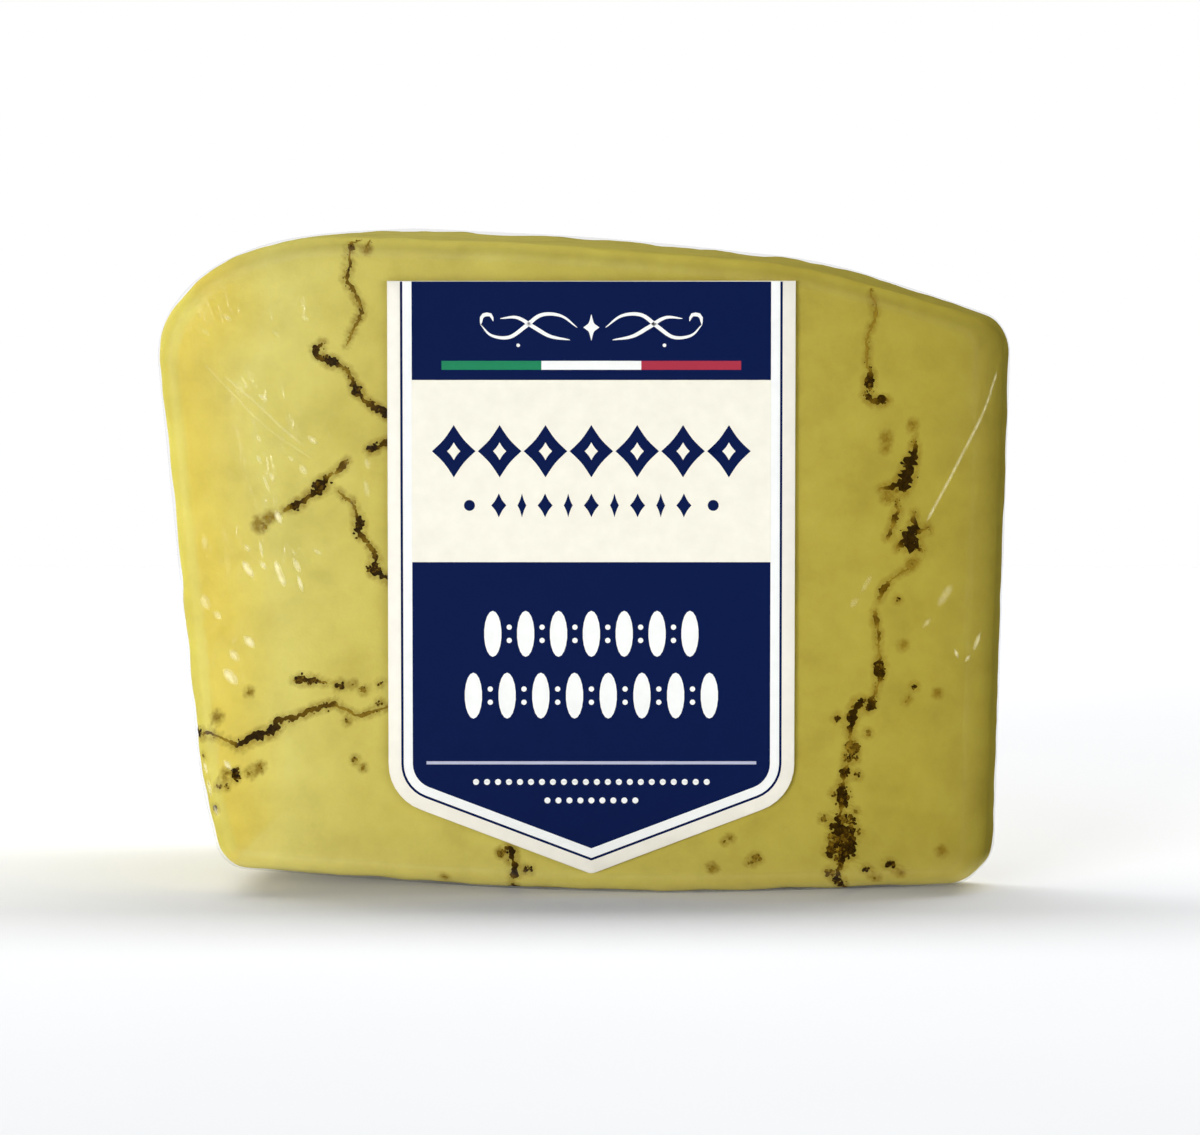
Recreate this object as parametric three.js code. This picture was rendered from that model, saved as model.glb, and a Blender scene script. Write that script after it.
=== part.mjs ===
// A wedge of truffle pecorino, sealed in clear film that sits tight on the cheese, with a paper
// label on its front cut face. Millimetres, +Z up. The front cut face looks along -Y, the rind
// is the thick end at -X and the wheel's centre is the thin end at +X.
import * as THREE from 'three';

const degree = Math.PI / 180;

// Wedge
const cutAngle = 24 * degree;   // between the two cut faces
const tipThickness = 9;         // the blunt end, where the wheel's centre was
const tipX = 48.3;              // the wheel's axis, which every layer of the wedge turns about
const tipCrown = 2.4;           // how far the blunt end rounds back to each cut face
const tipCrownReach = 12;       // nothing further from the axis is drawn in by that
const edgeRadius = 1.9;         // rounding all round each cut face
const edgeSteps = 4;            // layers in that rounding
const sweepSteps = 12;          // layers between the two roundings
const settle = 1.2;             // how far the middle of the underside has settled flat
const settleShare = 0.25;       // share of the thickness in which it comes down to that
const settleHeight = 8;         // nothing above this height has settled
const settleReach = 50;         // distance from the axis where it has settled fully

// Corners of a cut face before rounding, anticlockwise from the rind's foot. before and after
// say how far the rounding reaches along the edge that comes in and the one that goes out.
const faceCorners = [
  { x: -41.5, z: 2.9, before: 2.6, after: 2.6 },      // foot of the rind
  { x: -12.0, z: 0.6, before: 9.0, after: 9.0 },      // underside, towards the rind
  { x: 6.0, z: 0.0, before: 6.0, after: 4.0 },        // underside, where the face meets the ground
  { x: 14.0, z: 0.0, before: 4.0, after: 4.0 },       // underside, towards the tip
  { x: 45.9, z: 1.0, before: 4.4, after: 4.4 },       // foot of the tip
  { x: 47.8, z: 64.7, before: 3.8, after: 3.4 },      // top of the tip
  { x: 24.0, z: 71.4, before: 5.0, after: 5.0 },      // where the top bends down to the tip
  { x: -3.0, z: 73.8, before: 10.0, after: 10.0 },    // middle of the top
  { x: -49.8, z: 75.4, before: 23.0, after: 15.6 },   // rind's shoulder
  { x: -43.9, z: 12.6, before: 3.5, after: 3.5 },     // where the rind turns in to its foot
];
const cornerSteps = 8;          // straight steps in each rounding
const longestStep = 9;          // the stretches between roundings are cut into steps up to this
const smallestReach = 0.3;      // what is left of a rounding that an inset takes away
const circleHandle = 0.5523;    // Bezier handle that turns a square corner into a quarter circle

// Label: straight across the top, upright sides, and a shield's point below
const labelWidth = 45.8;
const labelX = 0.5;             // its middle
const labelTop = 69.5;
const labelPoint = 2.5;         // height of the point
const labelShoulder = 11.2;     // height at which the sides turn in towards the point
const labelRadius = 5.6;        // rounding of that turn
const labelTipRadius = 1.4;
const labelThickness = 0.4;
const labelGap = 0.3;           // clear of the film

const film = new THREE.MeshStandardMaterial({ color: 0xd3c265, roughness: 0.3, metalness: 0 });
const paper = new THREE.MeshStandardMaterial({ color: 0xf8f5ea, roughness: 0.6, metalness: 0 });

// Corners of the face with all its edges moved in by inset, each with its own rounding
function insetCorners(inset) {
  const count = faceCorners.length;
  const lines = faceCorners.map((corner, i) => {
    const next = faceCorners[(i + 1) % count];
    const along = new THREE.Vector2(next.x - corner.x, next.z - corner.z).normalize();
    const inward = new THREE.Vector2(-along.y, along.x);
    return { along, start: new THREE.Vector2(corner.x, corner.z).addScaledVector(inward, inset) };
  });
  return faceCorners.map((corner, i) => {
    const incoming = lines[(i + count - 1) % count];
    const outgoing = lines[i];
    const turn = incoming.along.cross(outgoing.along);
    const between = outgoing.start.clone().sub(incoming.start);
    const reach = between.cross(outgoing.along) / turn;
    const point = incoming.start.clone().addScaledVector(incoming.along, reach);
    const taken = inset * Math.tan(Math.asin(turn) / 2);
    return {
      point,
      incoming: incoming.along,
      outgoing: outgoing.along,
      before: Math.max(corner.before - taken, smallestReach),
      after: Math.max(corner.after - taken, smallestReach),
    };
  });
}

// Points round the face, as many for every inset: a curve at each corner, steps between them
function faceOutline(inset) {
  const corners = insetCorners(inset);
  const points = [];
  corners.forEach((corner, i) => {
    const from = corner.point.clone().addScaledVector(corner.incoming, -corner.before);
    const to = corner.point.clone().addScaledVector(corner.outgoing, corner.after);
    const curve = new THREE.CubicBezierCurve(
      from, from.clone().lerp(corner.point, circleHandle),
      to.clone().lerp(corner.point, circleHandle), to);
    points.push(...curve.getPoints(cornerSteps));

    const next = faceCorners[(i + 1) % faceCorners.length];
    const length = Math.hypot(next.x - faceCorners[i].x, next.z - faceCorners[i].z);
    const steps = Math.max(1, Math.round((length - faceCorners[i].after - next.before) / longestStep));
    const nextCorner = corners[(i + 1) % corners.length];
    const end = nextCorner.point.clone().addScaledVector(nextCorner.incoming, -nextCorner.before);
    for (let step = 1; step < steps; step += 1) {
      points.push(to.clone().lerp(end, step / steps));
    }
  });
  return points;
}

// Layers from the front cut face to the back one: inset of the outline, turn about the wheel's
// axis, distance from the axis to the layer's plane, and how far the underside has settled
function wedgeLayers() {
  const half = tipThickness / 2;
  const rounding = [];
  for (let step = 0; step <= edgeSteps; step += 1) {
    const angle = (step / edgeSteps) * (Math.PI / 2);
    rounding.push({
      inset: edgeRadius * (1 - Math.sin(angle)),
      depth: edgeRadius * (1 - Math.cos(angle)),
    });
  }
  const front = rounding.map(({ inset, depth }) => (
    { inset, turn: 0, offset: depth - half, settled: 0 }));
  const back = rounding.toReversed().map(({ inset, depth }) => (
    { inset, turn: cutAngle, offset: half - depth, settled: 0 }));
  const middle = [];
  for (let step = 1; step < sweepSteps; step += 1) {
    const share = step / sweepSteps;
    const fromFace = Math.min(share, 1 - share);
    middle.push({
      inset: 0,
      turn: cutAngle * share,
      offset: (half - edgeRadius) * (2 * share - 1),
      settled: THREE.MathUtils.smoothstep(fromFace, 0, settleShare),
    });
  }
  return [...front, ...middle, ...back];
}

function layerPoint(point, layer) {
  const fromAxis = tipX - point.x;
  const drawnIn = tipCrown * (layer.offset / (tipThickness / 2)) ** 2;
  const reach = fromAxis + drawnIn * Math.max(0, 1 - fromAxis / tipCrownReach);
  const low = Math.max(0, 1 - point.y / settleHeight);
  const heavy = Math.min(1, Math.max(0, fromAxis) / settleReach);
  return [
    tipX - reach * Math.cos(layer.turn) + layer.offset * Math.sin(layer.turn),
    reach * Math.sin(layer.turn) + layer.offset * Math.cos(layer.turn),
    Math.max(0, point.y - settle * layer.settled * heavy * low),
  ];
}

function wedgeGeometry() {
  const layers = wedgeLayers();
  const rings = layers.map((layer) => faceOutline(layer.inset).map((point) => layerPoint(point, layer)));
  const around = rings[0].length;
  const positions = rings.flat();
  const triangles = [];
  for (let ring = 0; ring < rings.length - 1; ring += 1) {
    for (let i = 0; i < around; i += 1) {
      const a = ring * around + i;
      const b = ring * around + ((i + 1) % around);
      triangles.push([a, a + around, b], [b, a + around, b + around]);
    }
  }
  const caps = [[0, false], [(rings.length - 1) * around, true]];
  caps.forEach(([first, flip]) => {
    const ring = positions.slice(first, first + around);
    const middle = [0, 1, 2].map((axis) => ring.reduce((sum, point) => sum + point[axis], 0) / around);
    positions.push(middle);
    for (let i = 0; i < around; i += 1) {
      const a = first + i;
      const b = first + ((i + 1) % around);
      triangles.push(flip ? [b, a, positions.length - 1] : [a, b, positions.length - 1]);
    }
  });
  const geometry = new THREE.BufferGeometry();
  geometry.setAttribute('position', new THREE.Float32BufferAttribute(positions.flat(), 3));
  geometry.setIndex(triangles.flat());
  geometry.computeVertexNormals();
  return geometry;
}

// The label's outline, drawn upright in X and Y and then stood up on the cut face
function labelGeometry() {
  const half = labelWidth / 2;
  const slope = Math.atan2(labelShoulder - labelPoint, half);
  const shoulderReach = labelRadius * Math.tan((Math.PI / 2 - slope) / 2);
  const tipRise = labelTipRadius * (1 / Math.cos(slope) - 1);
  const shape = new THREE.Shape();
  shape.moveTo(-half, labelTop);
  shape.lineTo(-half, labelShoulder + shoulderReach);
  shape.absarc(labelRadius - half, labelShoulder + shoulderReach, labelRadius,
    Math.PI, 1.5 * Math.PI - slope, false);
  shape.absarc(0, labelPoint + tipRise + labelTipRadius, labelTipRadius,
    1.5 * Math.PI - slope, 1.5 * Math.PI + slope, false);
  shape.absarc(half - labelRadius, labelShoulder + shoulderReach, labelRadius,
    1.5 * Math.PI + slope, 2 * Math.PI, false);
  shape.lineTo(half, labelTop);
  shape.closePath();
  return new THREE.ExtrudeGeometry(shape, {
    depth: labelThickness, bevelEnabled: false, curveSegments: 8,
  });
}

function buildPecorino() {
  const wedge = new THREE.Mesh(wedgeGeometry(), film);
  wedge.name = 'wrapped_wedge';

  const label = new THREE.Mesh(labelGeometry(), paper);
  label.name = 'label';
  label.rotation.x = Math.PI / 2;
  label.position.set(labelX, -tipThickness / 2 - labelGap, 0);

  // The origin is on the ground, under the middle of the whole
  const pecorino = new THREE.Group();
  pecorino.add(wedge, label);
  const box = new THREE.Box3().setFromObject(pecorino);
  const middle = box.getCenter(new THREE.Vector3());
  pecorino.position.set(-middle.x, -middle.y, -box.min.z);
  return pecorino;
}

export default buildPecorino();
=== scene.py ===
import math

import bpy
import bmesh
import numpy as np
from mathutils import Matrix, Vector, geometry
from mathutils.bvhtree import BVHTree


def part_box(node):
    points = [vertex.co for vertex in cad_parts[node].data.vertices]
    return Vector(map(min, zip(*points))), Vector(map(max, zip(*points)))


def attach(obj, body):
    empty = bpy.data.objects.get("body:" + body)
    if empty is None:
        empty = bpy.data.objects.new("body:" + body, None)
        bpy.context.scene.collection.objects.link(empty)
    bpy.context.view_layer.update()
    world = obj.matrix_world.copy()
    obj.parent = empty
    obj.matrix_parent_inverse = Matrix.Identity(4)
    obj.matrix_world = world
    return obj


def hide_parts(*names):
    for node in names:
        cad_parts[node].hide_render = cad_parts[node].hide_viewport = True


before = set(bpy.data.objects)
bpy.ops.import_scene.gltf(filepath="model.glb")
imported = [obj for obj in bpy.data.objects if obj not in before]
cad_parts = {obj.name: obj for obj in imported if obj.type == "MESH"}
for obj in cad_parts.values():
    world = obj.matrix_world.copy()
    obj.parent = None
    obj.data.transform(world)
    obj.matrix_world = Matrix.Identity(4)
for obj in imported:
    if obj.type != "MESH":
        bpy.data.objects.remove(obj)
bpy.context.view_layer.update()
mm = 0.001              # sizes below are in millimetres, Blender's own units are metres


# Small helpers for colours, nodes and meshes

def linear(hexColour):
    shares = [int(hexColour[i:i + 2], 16) / 255 for i in (1, 3, 5)]
    return [s / 12.92 if s <= 0.04045 else ((s + 0.055) / 1.055) ** 2.4 for s in shares] + [1.0]


def addNode(tree, kind, values=None, stops=None, **settings):
    node = tree.nodes.new("ShaderNode" + kind)
    for name, setting in settings.items():
        setattr(node, name, setting)
    for socket, value in (values or {}).items():     # a socket is linked, anything else is set
        if isinstance(value, bpy.types.NodeSocket):
            tree.links.new(value, node.inputs[socket])
        else:
            node.inputs[socket].default_value = value
    if stops:
        ramp = node.color_ramp.elements
        while len(ramp) < len(stops):
            ramp.new(0.5)
        for element, (place, colour) in zip(ramp, stops):
            element.position = place
            element.color = linear(colour) if isinstance(colour, str) else (colour,) * 3 + (1,)
    return node


def newMaterial(name):
    # an empty one, its node tree, and the object's own coordinates for its patterns
    material = bpy.data.materials.new(name)
    material.use_nodes = True
    tree = material.node_tree
    tree.nodes.clear()
    return material, tree, addNode(tree, "TexCoord").outputs["Object"]


def makePiece(name, points, faces, material, replacing, smooth=True, fields=None):
    mesh = bpy.data.meshes.new(name)
    mesh.from_pydata((np.asarray(points) * mm).tolist(), [], [list(map(int, f)) for f in faces])
    mesh.polygons.foreach_set("use_smooth", [smooth] * len(mesh.polygons))
    for field, values in (fields or {}).items():
        attribute = mesh.attributes.new(field, "FLOAT", "POINT")
        attribute.data.foreach_set("value", np.asarray(values, float))
    mesh.materials.append(material)
    mesh.update()
    piece = bpy.data.objects.new(name, mesh)
    bpy.context.scene.collection.objects.link(piece)
    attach(piece, "root")
    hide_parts(replacing)


def softField(points, wavelength, seed, waves=16):
    # random soft hills and hollows, mostly between -1 and 1: many plane waves at once
    rng = np.random.default_rng(seed)
    ways = rng.normal(size=(waves, 3))
    lengths = wavelength * rng.uniform(0.7, 1.6, waves)
    ways *= (2 * math.pi / lengths / np.linalg.norm(ways, axis=1))[:, None]
    return np.sin(points @ ways.T + rng.uniform(0, 2 * math.pi, waves)).mean(1) * 2.4


def smoothStep(value, low, high):
    share = np.clip((value - low) / (high - low), 0, 1)
    return share * share * (3 - 2 * share)


def smoothPath(path, step, finer=12):
    # a curve through given points, resampled at even steps; every column is carried along
    path = np.asarray(path, float)
    padded = np.vstack([2 * path[0] - path[1], path, 2 * path[-1] - path[-2]])
    pieces = []
    for a, b, c, d in zip(padded, padded[1:], padded[2:], padded[3:]):
        t = np.linspace(0, 1, finer, endpoint=False)[:, None]
        pieces.append(0.5 * (2 * b + (c - a) * t + (2 * a - 5 * b + 4 * c - d) * t ** 2
                             + (3 * b - a - 3 * c + d) * t ** 3))
    fine = np.vstack(pieces + [path[-1:]])
    along = np.concatenate([[0], np.cumsum(np.linalg.norm(np.diff(fine[:, :3], axis=0), axis=1))])
    places = np.linspace(0, along[-1], max(3, int(along[-1] / step) + 1))
    return np.stack([np.interp(places, along, column) for column in fine.T], 1)


# The wedge's form: two flat cut faces that meet at the wheel's axis, all edges rounded.
# It is the same form as the solid that the cheese and the film stand for, with finer steps.

wedge = {
    "cutAngle": math.radians(24),   # between the two cut faces
    "tipThickness": 9,
    "tipX": 48.3,                   # the wheel's axis, before centring
    "tipCrown": 2.4,                # rounding of the blunt end back to each cut face
    "tipCrownReach": 12,
    "edgeRadius": 1.9,              # rounding all round each cut face
    "settle": 1.2,                  # how far the middle of the underside has settled flat
    "settleShare": 0.25,
    "settleHeight": 8,
    "settleReach": 50,
    "circleHandle": 0.5523,         # Bezier handle that turns a square corner into a quarter circle
    "smallestReach": 0.3,           # what is left of a rounding that an inset takes away
    "corners": [                    # x, z, reach of the rounding before and after the corner
        (-41.5, 2.9, 2.6, 2.6),     # foot of the rind
        (-12.0, 0.6, 9.0, 9.0),
        (6.0, 0.0, 6.0, 4.0),
        (14.0, 0.0, 4.0, 4.0),
        (45.9, 1.0, 4.4, 4.4),      # foot of the tip
        (47.8, 64.7, 3.8, 3.4),     # top of the tip
        (24.0, 71.4, 5.0, 5.0),
        (-3.0, 73.8, 10.0, 10.0),
        (-49.8, 75.4, 23.0, 15.6),  # rind's shoulder
        (-43.9, 12.6, 3.5, 3.5),
    ],
    "stepAround": 0.72,             # between mesh points, round the outline
    "faceRings": 86,                # on each cut face, from its middle to its edge
    "ringCrowding": 0.85,           # below 1 they lie closer near the edge
    "edgeRings": 7,
    "sweepRings": 34,
}


def insetCorners(inset):
    corners = np.array(wedge["corners"], float)
    points = corners[:, :2]
    least = wedge["smallestReach"]
    along = np.roll(points, -1, 0) - points
    along /= np.linalg.norm(along, axis=1)[:, None]
    starts = points + np.stack([-along[:, 1], along[:, 0]], 1) * inset
    found = []
    for i, (_, _, before, after) in enumerate(corners):
        comes, goes = along[i - 1], along[i]
        turn = comes[0] * goes[1] - comes[1] * goes[0]
        between = starts[i] - starts[i - 1]
        point = starts[i - 1] + comes * (between[0] * goes[1] - between[1] * goes[0]) / turn
        taken = inset * math.tan(math.asin(turn) / 2)
        found.append((point, comes, goes, max(before - taken, least), max(after - taken, least)))
    return found


def faceOutline(inset):
    # the same number of points for every inset, anticlockwise from the rind's foot
    corners = insetCorners(inset)
    sharp = wedge["corners"]
    handle = wedge["circleHandle"]
    points = []
    for i, (point, comes, goes, before, after) in enumerate(corners):
        start, end = point - comes * before, point + goes * after
        first, second = start + (point - start) * handle, end + (point - end) * handle
        steps = max(4, round((sharp[i][2] + sharp[i][3]) / wedge["stepAround"]))
        t = np.linspace(0, 1, steps, endpoint=False)[:, None]
        points.append(start * (1 - t) ** 3 + 3 * first * t * (1 - t) ** 2
                      + 3 * second * t ** 2 * (1 - t) + end * t ** 3)
        following = corners[(i + 1) % len(corners)]
        nextStart = following[0] - following[1] * following[3]
        ahead = sharp[(i + 1) % len(sharp)]
        length = math.dist(sharp[i][:2], ahead[:2]) - sharp[i][3] - ahead[2]
        if length > 0.1:
            t = np.linspace(0, 1, max(2, round(length / wedge["stepAround"])), endpoint=False)[:, None]
            points.append(end + (nextStart - end) * t)
    return np.vstack(points)


def wedgeLayers():
    # inset of the outline, turn about the axis, distance of the layer's plane from it, settling
    half, radius = wedge["tipThickness"] / 2, wedge["edgeRadius"]
    angles = np.linspace(0, math.pi / 2, wedge["edgeRings"])
    insets, depths = radius * (1 - np.sin(angles)), radius * (1 - np.cos(angles))
    front = [(inset, 0.0, depth - half, 0.0) for inset, depth in zip(insets, depths)]
    back = [(inset, wedge["cutAngle"], half - depth, 0.0) for inset, depth in zip(insets, depths)]
    shares = np.linspace(0, 1, wedge["sweepRings"] + 2)[1:-1]
    middle = [(0.0, wedge["cutAngle"] * share, (half - radius) * (2 * share - 1),
               float(smoothStep(min(share, 1 - share), 0, wedge["settleShare"]))) for share in shares]
    return front + middle + back[::-1]


def layerPoints(layer):
    inset, turn, offset, settled = layer
    x, z = faceOutline(inset).T
    fromAxis = wedge["tipX"] - x
    drawnIn = wedge["tipCrown"] * (offset / (wedge["tipThickness"] / 2)) ** 2
    reach = fromAxis + drawnIn * np.maximum(0, 1 - fromAxis / wedge["tipCrownReach"])
    low = np.maximum(0, 1 - z / wedge["settleHeight"])
    heavy = np.clip(fromAxis / wedge["settleReach"], 0, 1)
    return np.stack([
        wedge["tipX"] - reach * math.cos(turn) + offset * math.sin(turn),
        reach * math.sin(turn) + offset * math.cos(turn),
        np.maximum(0, z - wedge["settle"] * settled * heavy * low)], 1)


def wedgeGrid():
    # rings of points from the middle of the front face, over the edge and round to the back one
    layers = np.array([layerPoints(layer) for layer in wedgeLayers()])
    shares = (np.arange(1, wedge["faceRings"]) / wedge["faceRings"]) ** wedge["ringCrowding"]
    caps = []
    for ring in (layers[0], layers[-1]):
        middle = ring.mean(0)
        caps.append(middle + (ring - middle) * shares[:, None, None])
    rings = np.concatenate([caps[0], layers, caps[1][::-1]])
    shares = np.concatenate([shares, np.ones(len(layers)), shares[::-1]])
    low, high = (np.array(corner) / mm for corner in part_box("wrapped_wedge"))
    flat = rings.reshape(-1, 3)
    shift = (low + high) / 2 - (flat.min(0) + flat.max(0)) / 2
    shift[2] = low[2] - flat[:, 2].min()
    return rings + shift, shares


def gridFaces(ringCount, around):
    # quads between the rings, and a fan to a middle point at each end
    i = np.arange(around)
    j = (i + 1) % around
    quads = []
    for ring in range(ringCount - 1):
        a = 1 + ring * around
        quads += np.stack([a + i, a + around + i, a + around + j, a + j], 1).tolist()
    last = 1 + (ringCount - 1) * around
    fans = np.stack([np.zeros(around, int), 1 + i, 1 + j], 1).tolist()
    fans += np.stack([np.full(around, last + around), last + j, last + i], 1).tolist()
    return quads + fans


def pointNormals(points, faces):
    mesh = bpy.data.meshes.new("normals")
    mesh.from_pydata(points.tolist(), [], faces)
    normals = np.zeros(len(points) * 3, np.float32)
    mesh.vertex_normals.foreach_get("vector", normals)
    bpy.data.meshes.remove(mesh)
    return normals.reshape(-1, 3).astype(float)


rings, ringShares = wedgeGrid()
ringCount, around = rings.shape[:2]
skinFaces = gridFaces(ringCount, around)
skin = np.vstack([rings[0].mean(0), rings.reshape(-1, 3), rings[-1].mean(0)])
outward = pointNormals(skin, skinFaces)
onFront = outward[:, 1] < -0.995         # points that lie flat on the front cut face
frontY = skin[:, 1].min()
frontEdge = wedge["faceRings"]           # rings where the faces end and the rounding begins
backEdge = frontEdge + 2 * wedge["edgeRings"] + wedge["sweepRings"]
edgeRing = frontEdge + wedge["edgeRings"]
print("wedge form:", len(skin), "points,", np.round(skin.min(0), 2), np.round(skin.max(0), 2))


# Truffle veins on the front cut face: x and z on the face, and half the vein's width there

veinSet = {
    "step": 0.16,            # between points along a vein
    "sides": 8,              # round its section
    "stepAcross": 0.11,      # most that a vein wanders off its line
    "ragged": 0.5,           # share by which its width varies
    "rise": 0.07,            # most that it stands proud of the paste
    "sunk": 0.03,            # how far its middle lies under the surface
    "flat": 0.6,             # its height for its half width, and its depth for its height
    "darkHalf": 0.42,        # half the width of a vein that is all but black, thinner ones are brown
    "crackReach": 0.45,      # the paste sinks this far beside a vein
    "stainReach": 0.68,      # oily brown halo in the paste
    "stainLevel": 0.75,      # its strength beside black truffle, 1 beside pale bits
    "paleTone": 0.75,        # bits from this tone on are no more than a stain with a few crumbs
    "crumbs": 4,             # crumbs for each millimetre of vein
    "crumbStep": 0.3,
    "lumpRough": 0.55,       # how far a lump is knocked out of round
    "lumpGrain": 0.16,       # and each of its points on its own
    "lumpSunk": 0.35,        # share of its height that lies under the surface
    "bitHeight": 0.1,
    "bitLumps": 46,          # lumps in a bit for each square millimetre
    "mostLumps": 40,
}

frontVeins = [
    [(-25.3, 75.6, .12), (-26.2, 74.5, .12), (-26.3, 73.5, .3), (-26.6, 72.3, .14), (-26.5, 71.6, .24),
     (-26.7, 70.7, .3), (-26.8, 69.5, .24), (-26.1, 68.3, .24), (-25.3, 66.7, .2), (-25.2, 66.0, .26),
     (-25.9, 64.6, .18), (-26.3, 63.7, .14), (-26.9, 62.2, .06)],
    [(-24.2, 75.2, .1), (-24.5, 73.6, .16), (-24.7, 72.7, .1)],
    [(-29.6, 62.5, .22), (-30.2, 61.6, .42), (-29.6, 60.9, .3), (-28.5, 60.4, .5), (-27.4, 59.9, .2),
     (-26.8, 59.5, .2), (-26.2, 58.5, .24), (-25.7, 57.3, .5), (-24.9, 56.3, .26), (-24.3, 55.8, .3),
     (-23.4, 55.1, .42), (-21.8, 54.3, .45)],
    [(-21.4, 51.6, .4), (-23.0, 51.1, .34), (-23.8, 50.7, .46), (-24.5, 50.3, .12)],
    [(-26.8, 49.4, .1), (-27.2, 48.9, .28), (-27.8, 48.2, .24), (-28.2, 47.8, .06)],
    [(-28.5, 47.9, .08), (-29.1, 47.3, .28), (-29.9, 46.3, .75), (-30.8, 45.6, .4), (-31.5, 45.1, .28),
     (-32.6, 44.2, .46), (-33.4, 43.9, .22), (-34.1, 43.6, .08)],
    [(-27.9, 45.9, .08), (-27.2, 45.2, .16), (-26.2, 44.5, .18), (-25.9, 43.4, .22), (-25.5, 42.3, .5),
     (-25.6, 41.3, .4), (-24.7, 40.1, .2), (-23.9, 38.9, .26), (-23.7, 37.9, .42), (-23.8, 37.0, .6),
     (-22.8, 36.2, .42), (-21.6, 35.7, .4)],
    [(-33.0, 24.4, .1), (-31.9, 24.5, .4), (-30.5, 24.4, .3), (-29.2, 24.1, .1)],
    [(-44.6, 18.4, .08), (-43.6, 18.2, .1), (-42.7, 18.4, .28), (-41.4, 17.9, .12), (-40.4, 17.5, .14),
     (-39.8, 17.2, .22), (-39.1, 17.0, .4), (-37.7, 17.7, .45), (-36.1, 18.4, .56), (-35.1, 18.9, .48),
     (-34.6, 19.8, .34), (-33.0, 20.1, .3), (-31.3, 20.9, .27), (-28.7, 21.8, .3), (-27.6, 21.3, .14),
     (-25.8, 20.5, .16), (-24.7, 20.7, .2), (-23.0, 21.2, .14), (-21.5, 21.6, .16)],
    [(32.5, 70.2, .1), (32.1, 68.5, .09), (32.1, 67.7, .1), (32.5, 66.4, .13), (32.1, 64.5, .12),
     (31.6, 62.8, .1), (31.7, 61.6, .14), (31.6, 60.2, .14), (32.1, 59.3, .22), (31.8, 58.1, .5),
     (31.9, 57.2, .16)],
    [(31.3, 56.7, .14), (31.7, 56.4, .36), (32.4, 55.9, .26), (33.3, 56.1, .42), (34.0, 56.0, .1)],
    [(36.9, 51.7, .06), (37.0, 50.8, .3), (36.9, 49.9, .5), (36.5, 48.9, .66), (36.2, 47.9, .78),
     (35.9, 47.0, .84), (35.8, 46.2, .66), (35.9, 45.7, .2)],
    [(36.0, 46.9, .6), (34.7, 46.4, .4), (33.8, 46.2, .28), (33.0, 46.1, .06)],
    [(35.1, 45.0, .1), (35.0, 44.3, .18), (35.2, 43.7, .14), (34.9, 42.9, .36), (34.6, 42.0, .14),
     (34.1, 41.0, .28), (33.9, 40.5, .08)],
    [(37.0, 43.5, .06), (36.9, 42.7, .26), (37.2, 42.0, .42), (36.8, 41.2, .75), (36.5, 40.4, .95),
     (36.7, 39.7, .9), (37.4, 39.4, .42), (37.9, 39.1, .1)],
    [(35.0, 39.3, .08), (35.6, 40.0, .38), (36.4, 40.5, .6)],
    [(37.3, 41.4, .34), (38.1, 41.5, .14), (38.6, 41.8, .24), (38.8, 41.4, .06)],
    [(36.4, 37.1, .1), (35.3, 36.5, .08), (34.2, 35.7, .1), (33.9, 35.3, .26), (33.4, 34.5, .28),
     (33.0, 33.6, .1)],
    [(32.6, 32.3, .1), (32.7, 31.4, .28), (32.8, 30.4, .14), (33.0, 29.6, .26), (33.0, 28.4, .12),
     (33.1, 27.2, .12), (33.2, 26.2, .55), (33.1, 25.0, .4), (32.9, 24.0, .12), (32.6, 22.9, .18),
     (32.2, 21.8, .4), (31.8, 21.2, .36)],
    [(31.7, 22.2, .2), (31.0, 22.1, .4), (30.4, 21.4, .42), (30.1, 20.6, .46), (29.9, 19.6, .46),
     (29.8, 18.7, .3), (29.8, 17.9, .1), (30.0, 17.2, .3), (30.2, 16.5, .5), (29.8, 15.4, .4)],
    [(29.6, 14.8, .12), (29.3, 13.9, .4), (29.2, 12.9, .16), (29.1, 12.0, .5), (29.0, 11.0, .6),
     (28.9, 9.9, .2), (28.7, 8.9, .4), (28.8, 7.7, .8), (29.0, 6.3, .85), (29.0, 5.0, .8),
     (28.8, 3.8, .42), (28.5, 2.7, .3), (28.5, 1.7, .45), (28.6, 0.8, .2)],
    [(-8.9, 5.5, .3), (-8.4, 5.0, .5), (-8.2, 3.8, .34), (-8.0, 2.7, .46), (-8.4, 1.9, .2)],
]

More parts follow.
